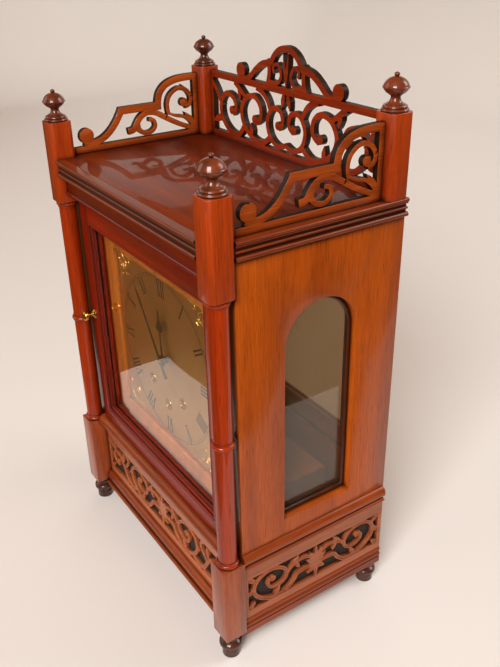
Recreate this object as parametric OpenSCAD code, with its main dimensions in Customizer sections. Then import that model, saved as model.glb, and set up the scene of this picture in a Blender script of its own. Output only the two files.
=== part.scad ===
// Musical bracket clock: wooden case with pierced galleries, glazed doors, silvered dial and
// three-train movement. Millimetres, +Z up, the front faces -Y, origin under the middle of the case.

/* [Case] */
// Width over the corner posts
case_w = 380; // [360:2:420]
// Depth over the corner posts and the cornice
case_d = 235; // [225:1:260]
// Height from the foot of the pedestals to the top of the cornice
body_h = 485; // [475:1:520]
// Side of the square corner posts and pedestals
post_s = 28; // [26:0.5:28.5]
// Height of the front pedestals
pedestal_h = 109; // [105:1:112]
// Height of the turned feet
foot_h = 31; // [24:1:38]
// How far the front posts hang below the top of the cornice
post_drop = 54; // [48:1:60]
// How far the front posts rise above the cornice
post_rise = 43; // [36:1:50]
// Height of the back posts above the cornice
back_post_h = 85; // [83:1:95]
// Chamfer on the arrises of the posts
post_chamfer = 4; // [2:0.5:5]
// Diameter of the corner columns
column_d = 21.4; // [18:0.2:22]
// Height of each finial
finial_h = 36; // [30:1:42]
// Recess of the side panels behind the faces of the posts
panel_recess = 5.5; // [4:0.5:7]
// Thickness of the side panels
panel_t = 16; // [12:1:18]
// Recess of the plinth behind the side faces of the pedestals
plinth_recess = 4; // [3:0.5:4.5]
// Recess of the front of the plinth behind the front of the pedestals
plinth_front = 23; // [23:0.5:26]
// Height of the cornice
cornice_h = 19.5; // [18:0.5:22]
// Width of the cornice strips
cornice_w = 12; // [11:0.5:13]
// How far the plinth hangs below the foot of the pedestals
plinth_drop = 3; // [1:0.5:5]
// Thickness of the bottom board
bottom_t = 12; // [9:1:14]

/* [Frets and galleries] */
// Thickness of the plinth frets
fret_t = 5; // [5:0.5:6]
// Height of the opening of the plinth frets
fret_h = 48; // [45:1:50]
// Height of the lower edge of that opening above the foot of the plinth
fret_base = 33.5; // [32:0.5:35]
// Thickness of the gallery boards
gallery_t = 7; // [5:0.5:8]
// Setback of the side galleries from the post faces
gallery_inset = 11; // [9:0.5:12]
// Height of the bottom rails of the galleries
gallery_rail = 8; // [6:0.5:9]

/* [Windows and doors] */
// Width of the side windows
window_w = 93; // [84:1:100]
// Height of the sill of the side windows above the foot of the pedestals
window_sill = 140.5; // [134:0.5:154]
// Height of the side windows to the crown of the arch
window_h = 261; // [236:1:268]
// Thickness of the glass
glass_t = 2.5; // [2:0.1:3]
// Width of the beads that hold the glass
bead_w = 5; // [4:0.5:6]
// Distance from the side of the case to the edge of the front door
door_side = 34.5; // [34:0.5:37]
// Thickness of the doors
door_t = 18; // [16:0.5:18]
// How far the front door stands out in front of the carcase
door_proud = 7; // [7:0.5:9]
// Width of the door stiles
stile_w = 23; // [22:0.5:30]
// Height of the top rail of the door
door_top_rail = 35; // [30:1:38]
// Height of the bottom rail of the door
door_bottom_rail = 24.5; // [23:0.5:32]
// Diameter of the door pivots
pivot_d = 4; // [3:0.1:4.5]
// Height of the front door knob above the foot of the pedestals
knob_z = 283; // [240:1:320]

/* [Dial] */
// Side of the square dial plate
dial_s = 229; // [224:1:234]
// Side of the opening in the dial mask
dial_opening = 220; // [214:1:222]
// Height of the centre of the dial above the foot of the pedestals
dial_z = 274; // [272:1:278]
// Depth of the front of the dial behind the front of the carcase
dial_depth = 18.5; // [18.5:0.5:20]
// Mean radius of the numerals
numeral_r = 92; // [88:1:94]
// Height of the numerals
numeral_h = 20; // [16:1:22]
// Outer radius of the minute track
track_r = 106.5; // [105:0.5:107]
// Length of the minute hand
minute_len = 101; // [90:1:104]
// Length of the hour hand
hour_len = 68; // [60:1:74]
// Minutes shown after the hour of eleven
shown_minute = 54.5; // [0:0.5:59.5]

/* [Movement] */
// Distance between the inner faces of the plates
plate_gap = 87; // [86:1:92]
// Thickness of the plates
plate_t = 3; // [2.5:0.5:3.5]
// Half width of the plates
plate_x = 80; // [78:1:86]
// Drop of the outer winding squares below the dial centre
side_drop = 43; // [42:0.5:44]
// Distance of the outer winding squares from the middle
side_x = 37; // [36:0.5:38]
// Length of the pendulum from its suspension to the middle of the bob
pendulum_len = 248; // [235:1:250]
// Diameter of the pendulum bob
bob_d = 50; // [40:1:56]
// Running clearance of a pivot in its hole, on the radius
run = 0.05; // [0.02:0.01:0.08]

/* [Hidden] */

// Floor levels
z0 = foot_h;
ped_top = z0 + pedestal_h;
top_z = z0 + body_h;
post_bot = top_z - post_drop;
cornice_z = top_z - cornice_h;
plinth_z = z0 - plinth_drop;
dial_c = z0 + dial_z;

// Front, back and side planes
yf = -case_d / 2;
yb = case_d / 2;
carcase_y = yf + post_s;
panel_x = case_w / 2 - panel_recess;
panel_in = panel_x - panel_t;
plinth_x = case_w / 2 - plinth_recess;
plinth_y = yf + plinth_front;
post_x = case_w / 2 - post_s / 2;
post_y = yf + post_s / 2;
post_in = case_w / 2 - post_s;

// Plinth
backing_t = 0.8;
rail_t = 13;
rail_x = plinth_x - fret_t - backing_t;
rail_y = plinth_y + fret_t + backing_t;
fret_border = 9.5;
fret_top_border = 17.5;
fret_z = plinth_z + fret_base;
board_z = fret_z - fret_border;
board_h = fret_border + fret_h + fret_top_border;
nosing_h = 17;
nosing_rise = 9;
nosing_out = 10;
nosing_set = 0.5;
strip_out = 9.6;
nosing_top = ped_top + nosing_rise;
nosing_z = nosing_top - nosing_h;
side_len = yb - carcase_y;
side_mid = (yb + carcase_y) / 2;
end_border = 6;

// Back posts and galleries
back_post_inset = 1;
back_post_x = case_w / 2 - back_post_inset - post_s / 2;
back_post_y = yb - back_post_inset - post_s / 2;
gallery_x = case_w / 2 - gallery_inset - gallery_t;
gallery_len = back_post_y - post_s / 2 - carcase_y;
gallery_y = back_post_y + gallery_t / 2;
gallery_half = back_post_x - post_s / 2;

// Side windows
sill_z = z0 + window_sill;
window_r = window_w / 2;
spring_z = sill_z + window_h - window_r;
window_y = (carcase_y + yb) / 2;

// Front door
door_gap = 1.2;
door_w = case_w - 2 * door_side;
door_y = carcase_y - door_proud;
door_z = nosing_top + door_gap;
frieze_z = cornice_z - 24.5;
door_h = frieze_z - door_gap - door_z;
sight_w = door_w - 2 * stile_w;
sight_z = door_z + door_bottom_rail;
sight_h = door_h - door_bottom_rail - door_top_rail;
slope_w = 6;
slope_t = 5.5;
rebate = 4;
glass_set = 9.5;
pivot_in = 4;
pivot_deep = 9;
pivot_x = door_w / 2 - pivot_in;
pivot_y = door_y + pivot_in;
frame_in = door_w / 2 + door_gap;
frame_t = 18;

// Dial and mask
mask_t = 5;
dial_t = 2;
dial_y = carcase_y + dial_depth;
mask_y = dial_y - mask_t;

// Back frame and back door
back_stile = 26;
back_frame_t = 18;
back_door_t = 12;
back_half = panel_in - back_stile;
back_open_z = nosing_top + back_stile;
back_open_h = cornice_z - back_stile - back_open_z;
back_gap = 0.6;
back_rail = 28;
back_set_in = 2;
back_door_w = 2 * (back_half - back_gap);
back_door_z = back_open_z + back_gap;
back_door_h = back_open_h - 2 * back_gap;
back_door_y = yb - back_door_t - back_set_in;
back_pivot = [-back_door_w / 2 + pivot_in, back_door_y + back_door_t - pivot_in];

// Movement planes, counted from the front of the front plate
plate_y = dial_y + dial_t + 11.5;
in_y = plate_y + plate_t;
out_y = in_y + plate_gap;
back_y = out_y + plate_t;
seat_t = 14;
plate_foot = 37.2;
plate_head = 20;
pivot_share = 0.7;
arbor_r = 1.8;
fine_arbor_r = 1.1;
winder_r = 3.5;
barrel_pivot_r = 2;
pivot_r = arbor_r * pivot_share;
fine_pivot_r = fine_arbor_r * pivot_share;
centre_r = 1.5;
cannon_r = 2.5;
minute_post_r = 1.5;
hand_t = 0.9;
shake = 0.3;
great_t = 3;
wheel_t = 2;
leaf_over = 1;
going_y = 3;
second_y = 9;
centre_y = 20;
third_y = 30;
escape_y = 78;
side_y = 14;
pins_y = 19.5;
tune_y = 20;
strike_y = 22.5;
hour_bell_y = 23.5;
drum_y = 25;
drum_l = 58;
hang_r = 1.5;
bob_t = 12;

// Motion work, counted back towards the dial from the front of the front plate
motion_y = 3;
motion_t = 2;
cannon_y = 3.2;
cannon_t = 2.5;
hour_y = 7.6;
leaves_t = 5.4;
post_end = 8.6;
hour_hand_y = 4.4;
minute_hand_y = 7.6;

// Tooth counts and modules of the trains
great_n = 80;
great_m = 0.8;
side_n = 72;
leaf_n = 8;
second_n = 80;
fine_m = 0.6;
centre_leaf_n = 12;
centre_n = 96;
going_m = 0.4;
going_leaf_n = 8;
third_n = 80;
escape_n = 30;
pin_n = 66;
fly_leaf_n = 8;
tune_n = 60;
cylinder_n = 72;
cannon_n = 12;
minute_n = 36;
minute_leaf_n = 10;
hour_n = 40;
cannon_m = 0.5;
hour_m = 0.48;

// Arbor places as [x, z] in the plane of the plates
centre = [0, dial_c];
lead = great_m * (great_n + leaf_n) / 2;
centre_gap = fine_m * (second_n + centre_leaf_n) / 2;
second = centre - [0, centre_gap];
going = second - [0, lead];
third = centre + polar(going_m * (centre_n + going_leaf_n) / 2, 55);
escape_rise = sqrt(pow(going_m * (third_n + going_leaf_n) / 2, 2) - pow(third[0], 2));
escape = [0, third[1] + escape_rise];
escape_r = 12.5;
anchor_rise = 17.5;
hang = escape + [0, anchor_rise];
strike = centre + [-side_x, -side_drop];
pins = strike + polar(great_m * (side_n + leaf_n) / 2, 110.5);
flier = pins + polar(fine_m * (pin_n + fly_leaf_n) / 2, 76);
music = centre + [side_x, -side_drop];
tune = music + polar(great_m * (side_n + leaf_n) / 2, 69.5);
drum = tune + polar(fine_m * (tune_n + cylinder_n) / 2, 84);
governor = drum + polar(fine_m * (cylinder_n + fly_leaf_n) / 2, 141.5);
minute_side = centre + [cannon_m * (cannon_n + minute_n) / 2, 0];

// Music drum, hammers and bells
drum_r = 17;
drum_pin = 1.4;
hammer_count = 4;
hammer_first = 28;
hammer_pitch = 12;
hammer_pivot = centre + [44, 66];
bell_r = [31, 28, 25, 22];
bell_room = 20.5;
bell_c = [0, cornice_z - bell_room - bell_r[0]];
hour_bell = centre + [-122, 46];
hour_bell_r = 36;
pin_circle = 18;
pin_r = 1;
strike_pivot = centre + [-68, 18];
hammer_lift = 1.5;
hammer_t = 3;
head_r = 4;
head_gap = 1.2;

// Bells and their studs
bell_h = 16;
bell_rod_r = 2;
collar_r = 3.6;
collar_t = 2;
hammer_rod_r = 1.5;
hour_bell_h = 26;
hour_stud_r = 3;
hour_collar_r = 5;
hour_collar_t = 3;
hour_top = in_y + hour_bell_y + hour_bell_h;
bracket_w = 8;
bracket_foot = 16;
bracket_h = 4;
arm_w = 12;
arm_lap = 20;

// Ends of the plates
plate_z = going[1] - plate_foot;
plate_top = hammer_pivot[1] + plate_head;
plate_h = plate_top - plate_z;

function polar(r, a) = [r * cos(a), r * sin(a)];
function lerp(a, b, t) = a + (b - a) * t;
function bearing(a, b) = atan2(b[1] - a[1], b[0] - a[0]);

// A smooth curve through the points p, with n steps between each two
function curve_point(a, b, c, d, t) =
    0.5 * (2 * b + (c - a) * t + (2 * a - 5 * b + 4 * c - d) * t * t + (3 * b - a - 3 * c + d) * t * t * t);
function smooth(p, n) = let(m = len(p) - 1) concat([for (i = [0:m - 1]) for (j = [0:n - 1])
    curve_point(p[max(i - 1, 0)], p[i], p[i + 1], p[min(i + 2, m)], j / n)], [p[m]]);
function spiral(c, r0, r1, a0, a1, n) = [for (i = [0:n]) c + polar(lerp(r0, r1, i / n), lerp(a0, a1, i / n))];
function side_step(p, i) = let(d = p[min(i + 1, len(p) - 1)] - p[max(i - 1, 0)]) [-d[1], d[0]] / norm(d);

// Sawn outlines are drawn at one length, and $long stretches them to the length of their board
$long = 1;
function along(p) = [p[0] * $long, p[1]];

// A strap of sawn wood along a curve, w0 wide at its start and w1 at its end
module strap(p, w0, w1, n = 4) {
    q = smooth([for (a = p) along(a)], n);
    m = len(q) - 1;
    polygon(concat([for (i = [0:m]) q[i] - side_step(q, i) * lerp(w0, w1, i / m) / 2],
        [for (i = [m:-1:0]) q[i] + side_step(q, i) * lerp(w0, w1, i / m) / 2]));
}

module disc(c, r) translate(along(c)) circle(r = r, $fn = 32);

// A pointed leaf from one place to another, w wide
module leaf(from, to, w) {
    a = along(from);
    b = along(to);
    d = b - a;
    s = [d[1], -d[0]] / norm(d) * w / 2;
    polygon([a, a + d * 0.25 + s * 0.8, a + d * 0.5 + s, a + d * 0.8 + s * 0.5, b,
        a + d * 0.8 - s * 0.5, a + d * 0.5 - s, a + d * 0.25 - s * 0.8]);
}

module both() {
    children();
    mirror([1, 0, 0]) children();
}

// Stands a flat shape up in the plane of the dial, from depth y and t thick
module upright(y, t) translate([0, y + t, 0]) rotate([90, 0, 0]) linear_extrude(t) children();

// Stands a flat shape up in the plane of a side panel: its x runs back, from the plane x and t thick
module sideways(x, t) translate([x, 0, 0]) rotate([90, 0, 90]) linear_extrude(t) children();

// A cylinder that lies from front to back
module rod(p, r, y, l) translate([p[0], y, p[1]]) rotate([-90, 0, 0]) cylinder(r = r, h = l, $fn = 48);

module tube(p, r, bore, y, l) difference() {
    rod(p, r, y, l);
    rod(p, bore, y - 1, l + 2);
}

// One sawn side gallery: x runs back from the front post, y up from the cornice
module gallery_side_shape() {
    l = 176;
    $long = gallery_len / l;
    square([gallery_len, gallery_rail]);
    translate([gallery_len - 7, 0]) square([7, 77]);
    disc([20, 20], 9.5);
    strap([[16, 12.5], [28, 10.5], [40, 13.5], [51, 21], [60, 31], [68, 43.5]], 8, 8.5);
    polygon([for (q = [[61.5, 39], [122, 39], [119, 48], [64.8, 48]]) along(q)]);
    strap([[118.5, 38], [118.8, 48], [122, 58.5], [131, 67.5], [145, 72.2], [160, 73.4],
        [l - 0.5, 73.4]], 9, 8.5);
    strap([[133, 30], [131.5, 43], [136, 54], [147, 61], [159, 58], [165.5, 48.5], [163.5, 40],
        [156.5, 37.4]], 5.2, 6);
    disc([155, 43], 5.6);
    strap([[75, 17], [83.5, 19], [88, 26], [94, 33], [103, 36.8], [115, 35], [128, 27.5], [142, 19.5],
        [157, 12.5], [l - 4, 7]], 8.5, 6);
    strap([[89, 27], [90, 18], [97, 12.5], [106, 12.5], [112.5, 18], [111, 26], [104, 28]], 6.5, 5);
    strap([[133, 32], [143, 27.5], [154, 25], [163, 19], [l - 5, 8]], 3, 6);
    leaf([l - 5, 12], [155, 31], 8);
    leaf([l - 8, 50], [152, 66], 4);
}

// One half of the back gallery: x runs out from the middle, y up from the cornice
module gallery_back_half() {
    l = 159;
    $long = gallery_half / l;
    translate([-0.01, 0]) square([gallery_half + 0.01, gallery_rail]);
    translate([-0.01, 73]) square([gallery_half + 0.01, 8]);
    translate([gallery_half - 5, 0]) square([5, 80]);
    strap([[-0.01, 16], [14, 12], [30, 20], [36, 38], [26, 54], [10, 53], [6, 40], [14, 33]], 6, 6);
    disc([15, 36], 5);
    strap([[30, 20], [46, 10], [66, 12], [84, 24], [90, 42], [80, 58], [62, 62], [50, 52], [50, 38],
        [60, 31]], 7, 6);
    disc([62, 35], 5.4);
    strap([[84, 24], [98, 10], [118, 12], [134, 26], [136, 44], [124, 57], [108, 54], [102, 42],
        [110, 34]], 7, 6);
    disc([112, 38], 5.2);
    strap([[30, 50], [36, 62], [46, 70], [58, 74]], 5, 8);
    strap([[80, 58], [92, 66], [104, 74]], 5, 8);
    strap([[134, 40], [146, 58], [l - 3, 68]], 5, 6);
    leaf([134, 28], [l - 4, 18], 9);
    leaf([3, 76], [8, 56], 7);
    leaf([68, 12], [70, 30], 7);
    leaf([96, 72], [92, 52], 7);
    disc([90, 89], 9);
    strap([[90, 82], [78, 81], [68, 86], [58, 94], [46, 101], [33, 104]], 6, 8);
    strap([[33, 103.5], [31.5, 96], [33, 86], [36, 78]], 6, 7);
    strap(spiral([0, 92], 30.5, 30.5, 24, 91, 6), 7, 7);
    disc([31, 104.5], 5);
    strap([[33.5, 84], [16, 84], [9, 93], [15, 104], [24, 101], [22, 94]], 5, 4);
    leaf([-1, 80], [5, 118], 5);
}

// One half of the palmette and scroll that fill the plinth frets, about the middle of the opening
module scroll_half() {
    leaf([-0.5, -26], [0.4, 26], 8);
    leaf([0, -2], [15, 9], 7);
    leaf([0, 4], [9, 18], 6);
    leaf([0, -6], [13, -15], 8);
    strap([[3, -4], [14, -3.5], [27, -5], [33, -14], [43, -22], [58, -24], [74, -18], [86, -5], [87, 9],
        [79, 20], [65, 24], [52, 20], [43, 10], [44, -1], [53, -7], [64, -5], [69, 3], [65, 10]], 6, 4.4);
    disc([62, 8], 4.2);
    strap([[3, 6], [12, 14], [24, 16], [36, 11], [43, 4]], 5, 5);
    leaf([36, 10], [25, 25], 7);
    leaf([30, 14], [24, 3], 6);
    leaf([60, -24], [52, -9], 7);
    leaf([86, 6], [95, 2], 6);
}

// Leaves in the outer corners of a plinth fret whose opening is 2 w wide
module scroll_corners(w) {
    leaf([w + 1, 26], [w - 12, 15], 7);
    leaf([w + 1, -26], [w - 10, -16], 7);
    translate(along([w - 5, -2])) square([6 * $long, 4]);
}

// The branch that carries the front fret out past the side scroll
module scroll_branch() {
    strap([[76, -17], [90, -22], [104, -16], [112, -2], [122, 10], [136, 12], [144, 2], [138, -8],
        [128, -7]], 6, 4.4);
    disc([131, -3], 4);
    strap([[98, -20], [112, -25], [128, -26]], 4, 3);
    strap([[112, -2], [100, 10], [98, 20], [106, 27]], 4.5, 4);
    leaf([114, 4], [112, 24], 7);
    leaf([138, 10], [142, 26], 6);
}

// A sawn fret l long: its border, and the scrolls about the middle of its opening
module fret_shape(l, branch) {
    w = l / 2 - end_border;
    k = fret_h / 51;
    $long = w / k / (branch ? 155 : 95.5);
    difference() {
        translate([-l / 2, 0]) square([l, board_h]);
        translate([-w, fret_border]) square([2 * w, fret_h]);
    }
    translate([0, fret_border + fret_h / 2]) scale(k) both() {
        scroll_half();
        if (branch) scroll_branch();
        scroll_corners(w / k / $long);
    }
}

module bottom_board() color("#5b2d16")
    translate([-rail_x + rail_t, rail_y + rail_t, plinth_z])
        cube([2 * (rail_x - rail_t), yb - rail_t - rail_y - rail_t, bottom_t]);

module plinth_frame() color("#6b2c14") {
    h = nosing_z - plinth_z;
    window = side_len - 2 * end_border - 6;
    both() difference() {
        translate([rail_x - rail_t, carcase_y, plinth_z]) cube([rail_t, side_len, h]);
        translate([rail_x - rail_t - 1, side_mid - window / 2, fret_z]) cube([rail_t + 2, window, fret_h]);
    }
    difference() {
        translate([-rail_x + rail_t, rail_y, plinth_z]) cube([2 * (rail_x - rail_t), rail_t, h]);
        translate([-post_in + end_border, rail_y - 1, fret_z])
            cube([2 * (post_in - end_border), rail_t + 2, fret_h]);
    }
    translate([-rail_x + rail_t, yb - rail_t, plinth_z]) cube([2 * (rail_x - rail_t), rail_t, h]);
}

// Sections of the base strip stand in front of the rails, on a face t out from them
module strip_section(t) {
    translate([0, plinth_z]) square([t, board_z - plinth_z]);
    intersection() {
        translate([0, plinth_z]) square([t + strip_out, board_z - plinth_z]);
        union() children();
    }
}

// At the sides a flat band lies under two reeds
module side_strip(t) {
    h = board_z - plinth_z;
    band = h * 0.36;
    lower = h * 0.17;
    upper = h * 0.15;
    strip_section(t) {
        translate([0, plinth_z]) square([t + 1.2, band]);
        translate([t - lower + 1.8, plinth_z + band + lower]) circle(r = lower, $fn = 48);
        translate([t - upper + 1.2, board_z - upper]) circle(r = upper, $fn = 48);
    }
}

// At the front a deep roll is set back above a beaded base
module front_strip(t) {
    bead = 2.6;
    roll = (board_z - plinth_z) / 3;
    strip_section(t) {
        translate([0, plinth_z]) square([t + strip_out - bead, 2 * bead]);
        translate([t + strip_out - bead, plinth_z + bead]) circle(r = bead, $fn = 48);
        translate([t - 1, board_z - 2.5 - roll]) circle(r = roll, $fn = 48);
    }
}

// Section of the bead and the nosing over the frets: x out from the rails, y up from the floor
module nosing_section(out, inner) {
    t = fret_t + backing_t;
    bead = (nosing_z - board_z - board_h) / 2;
    nose = nosing_h / 2;
    translate([0, nosing_z - 2 * bead]) square([t, 2 * bead]);
    translate([t, nosing_z - bead]) circle(r = bead, $fn = 48);
    translate([-inner, nosing_z]) square([inner + out - nose, nosing_h]);
    intersection() {
        translate([0, nosing_z]) square([out, nosing_h]);
        translate([out - nose, nosing_z + nose]) circle(r = nose, $fn = 48);
    }
}

module plinth_mouldings() color("#7a2f14") {
    both() translate([rail_x, yb, 0]) rotate([90, 0, 0]) linear_extrude(side_len) {
        side_strip(fret_t + backing_t);
        nosing_section(case_w / 2 - nosing_set - rail_x, rail_x - panel_in);
    }
    difference() {
        translate([-post_in, rail_y, 0]) rotate([90, 0, 90]) linear_extrude(2 * post_in) mirror([1, 0]) {
            front_strip(fret_t + backing_t);
            nosing_section(rail_y - plinth_y + nosing_out, 0);
        }
        translate([pivot_x, pivot_y, nosing_top - pivot_deep])
            cylinder(d = pivot_d, h = pivot_deep + 1, $fn = 48);
    }
}

module fret_front() color("#8a4a2a")
    translate([0, 0, board_z]) upright(plinth_y, fret_t) fret_shape(2 * post_in, true);

module fret_right() color("#8a4a2a") translate([0, side_mid, board_z])
    sideways(plinth_x - fret_t, fret_t) fret_shape(side_len, false);

module fret_left() mirror([1, 0, 0]) fret_right();

module fret_backing() color("#2a1a12") {
    both() translate([rail_x, carcase_y, board_z]) cube([backing_t, side_len, board_h]);
    translate([-post_in, rail_y - backing_t, board_z]) cube([2 * post_in, backing_t, board_h]);
}

module pedestals() color("#8a4a2a") both() intersection() {
    foot_cut = 4;
    translate([post_in, yf, z0]) cube([post_s, post_s, pedestal_h]);
    upright(yf - 1, post_s + 2) polygon([[post_in + foot_cut, z0], [case_w / 2 - foot_cut, z0],
        [case_w / 2, z0 + foot_cut], [case_w / 2, ped_top], [post_in, ped_top], [post_in, z0 + foot_cut]]);
    sideways(post_in - 1, post_s + 2) polygon([[yf + foot_cut, z0], [carcase_y - foot_cut, z0],
        [carcase_y, z0 + foot_cut], [carcase_y, ped_top], [yf, ped_top], [yf, z0 + foot_cut]]);
}

module foot(h) {
    k = h / 31;
    turned = concat([[0, 0], [9.6, 0], [10.6, 1]],
        smooth([[10.6, 9.6], [9.8, 12], [9.6, 13.4]], 4),
        smooth([[10.8, 14], [13.2, 15.6], [13.8, 18.4], [13, 21.4], [10.6, 23.4]], 4),
        smooth([[9.2, 24.4], [8.8, 26.4], [9.6, 28]], 4), [[11.4, 28.4], [11.4, 31], [0, 31]]);
    rotate_extrude($fn = 64) polygon([for (q = turned) [q[0], q[1] * k]]);
}

module feet() color("#4a2412") both() {
    translate([post_x, post_y, 0]) foot(foot_h);
    translate([post_x, yb - post_s / 2, 0]) foot(foot_h - plinth_drop);
}

module ring(r, w, z) translate([0, 0, z]) rotate_extrude($fn = 64) translate([r, 0]) circle(r = w, $fn = 32);

module columns() color("#7e2f12") both() translate([post_x, post_y, ped_top]) {
    r = column_d / 2;
    l = post_bot - ped_top;
    torus = 2.8;
    cylinder(r = r, h = l, $fn = 64);
    ring(r - 0.3, torus, torus);
    ring(r - 0.3, torus, l - torus);
    for (z = [2 * torus, l - 2 * torus - 1.6, l / 2 - 4.2, l / 2 + 2.6])
        translate([0, 0, z]) cylinder(r = r + 0.9, h = 1.6, $fn = 64);
    ring(r - 0.2, 2.6, l / 2);
}

module post(x, y, z, h) translate([x, y, z]) linear_extrude(h) let(a = post_s / 2, b = a - post_chamfer)
    polygon([[a, -b], [a, b], [b, a], [-b, a], [-a, b], [-a, -b], [-b, -a], [b, -a]]);

module corner_posts() color("#8e3a16") both() {
    post(post_x, post_y, post_bot, post_drop + post_rise);
    post(back_post_x, back_post_y, top_z, back_post_h);
}

module finial() {
    wide = (post_s / 2 - 0.2) / 14.8;
    tall = finial_h / 36;
    turned = concat([[0, 0], [14, 0]],
        smooth([[14, 0.3], [14.8, 1.6], [14, 3]], 4), [[12.6, 3.2]],
        smooth([[12.6, 3.6], [13, 4.8], [12.2, 6]], 3), [[10.4, 6.4]],
        smooth([[10.4, 6.8], [7.2, 8.6], [5.4, 11.4], [5.2, 13.4], [6, 15]], 4),
        [[7.2, 15.2]], smooth([[7.2, 15.8], [9.6, 16.8], [12.2, 19.2], [13.4, 21.2]], 3),
        smooth([[14, 21.6], [14.3, 22.4], [13.6, 23.2]], 3),
        smooth([[13, 24.6], [11, 27.6], [8, 30], [4.2, 31.6]], 4),
        smooth([[2, 31.8], [2.9, 33.4], [2.2, 35.2], [0, 36]], 4));
    rotate_extrude($fn = 64) polygon([for (q = turned) [q[0] * wide, q[1] * tall]]);
}

module finials() color("#4a2412") both() {
    translate([post_x, post_y, top_z + post_rise]) finial();
    translate([back_post_x, back_post_y, top_z + back_post_h]) finial();
}

// A round-headed opening, made smaller all round by inset
module arch(inset) translate([window_y, 0]) {
    translate([inset - window_r, sill_z + inset]) square([window_w - 2 * inset, spring_z - sill_z - inset]);
    translate([0, spring_z]) circle(r = window_r - inset, $fn = 96);
}

module side_panel_right() color("#a8582a") difference() {
    translate([panel_in, carcase_y, nosing_top]) cube([panel_t, yb - carcase_y, cornice_z - nosing_top]);
    sideways(panel_in - 1, panel_t + 2) arch(0);
}

module side_panel_left() mirror([1, 0, 0]) side_panel_right();

module side_glass() color("#8f8577") both() sideways(panel_in + 1, glass_t) arch(0.2);

module window_beads() color("#5e2a14") both() sideways(panel_in + 1 + glass_t, 4) difference() {
    arch(0);
    arch(bead_w);
}

module front_frame() color("#6e2410") {
    frieze_y = yf + cornice_w;
    back = carcase_y + frame_t;
    bead = 2.5;
    both() translate([frame_in, carcase_y, nosing_top])
        cube([panel_in - frame_in, frame_t, cornice_z - nosing_top]);
    translate([-panel_in, rail_y, nosing_z]) cube([2 * panel_in, back - rail_y, nosing_h]);
    difference() {
        union() {
            translate([-post_in, frieze_y, frieze_z])
                cube([2 * post_in, carcase_y - frieze_y, cornice_z - frieze_z]);
            translate([-post_in, frieze_y, frieze_z + bead]) rotate([0, 90, 0])
                cylinder(r = bead, h = 2 * post_in, $fn = 32);
        }
        translate([pivot_x, pivot_y, frieze_z - 1]) cylinder(d = pivot_d, h = pivot_deep + 1, $fn = 48);
    }
    translate([-panel_in, carcase_y, frieze_z]) cube([2 * panel_in, frame_t, cornice_z - frieze_z]);
}

module back_frame() color("#6e3418") difference() {
    translate([-panel_in, yb - back_frame_t, nosing_z])
        cube([2 * panel_in, back_frame_t, cornice_z - nosing_z]);
    translate([-back_half, yb - back_frame_t - 1, back_open_z])
        cube([2 * back_half, back_frame_t + 2, back_open_h]);
    for (z = [back_open_z - pivot_deep, back_open_z + back_open_h - 1])
        translate([back_pivot[0], back_pivot[1], z]) cylinder(d = pivot_d, h = pivot_deep + 1, $fn = 48);
}

module top_board() color("#7c2a10") difference() {
    inner = case_w / 2 - cornice_w;
    translate([-inner, yf + cornice_w, cornice_z]) cube([2 * inner, case_d - cornice_w, cornice_h]);
    both() translate([post_in, yf, cornice_z - 1]) cube([post_s, post_s, cornice_h + 2]);
}

// Section of the cornice: x out from the edge of the top board, y up from the floor
module cornice_section() {
    w = cornice_w - 0.5;
    h = cornice_h;
    translate([0, cornice_z]) square([w - 4.4, h]);
    translate([0, cornice_z]) square([w - 2.4, 5]);
    translate([w - 2.4, cornice_z + 2.4]) circle(r = 2.4, $fn = 32);
    translate([0, cornice_z + 7.4]) square([w - 3, 3]);
    translate([w - 3.4, cornice_z + 8.9]) circle(r = 1.5, $fn = 32);
    translate([0, cornice_z + h - 5.6]) square([w - 2, 5.6]);
    translate([w - 2, cornice_z + h - 2]) circle(r = 2, $fn = 32);
    translate([w - 2.6, cornice_z + h - 4.8]) circle(r = 1.3, $fn = 32);
}

module cornice() color("#5e2812") {
    both() translate([case_w / 2 - cornice_w, yb, 0]) rotate([90, 0, 0])
        linear_extrude(yb - carcase_y) cornice_section();
    translate([-post_in, yf + cornice_w, 0]) rotate([90, 0, 90]) linear_extrude(2 * post_in)
        mirror([1, 0]) cornice_section();
}

module gallery_right() color("#7e3616") translate([0, carcase_y, top_z])
    sideways(gallery_x, gallery_t) gallery_side_shape();

module gallery_left() mirror([1, 0, 0]) gallery_right();

module gallery_back() color("#6e2a12") translate([0, 0, top_z])
    upright(gallery_y - gallery_t / 2, gallery_t) both() gallery_back_half();

module dial_mask() color("#9a5a28") difference() {
    translate([-frame_in, mask_y, nosing_top]) cube([2 * frame_in, mask_t, frieze_z - nosing_top]);
    translate([-dial_opening / 2, mask_y - 1, dial_c - dial_opening / 2])
        cube([dial_opening, mask_t + 2, dial_opening]);
}

winders = [going, strike, music];

module dial_plate() color("#cfc8b8") difference() {
    translate([-dial_s / 2, dial_y, dial_c - dial_s / 2]) cube([dial_s, dial_t, dial_s]);
    rod(centre, 5, dial_y - 1, dial_t + 2);
    for (p = winders) rod(p, 5.2, dial_y - 1, dial_t + 2);
}

NUMERALS = ["XII", "I", "II", "III", "IIII", "V", "VI", "VII", "VIII", "IX", "X", "XI"];
function letter_w(c) = c == "I" ? 4.6 : 10;
function word_w(s, n) = n == 0 ? 0 : letter_w(s[n - 1]) + word_w(s, n - 1);

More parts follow.
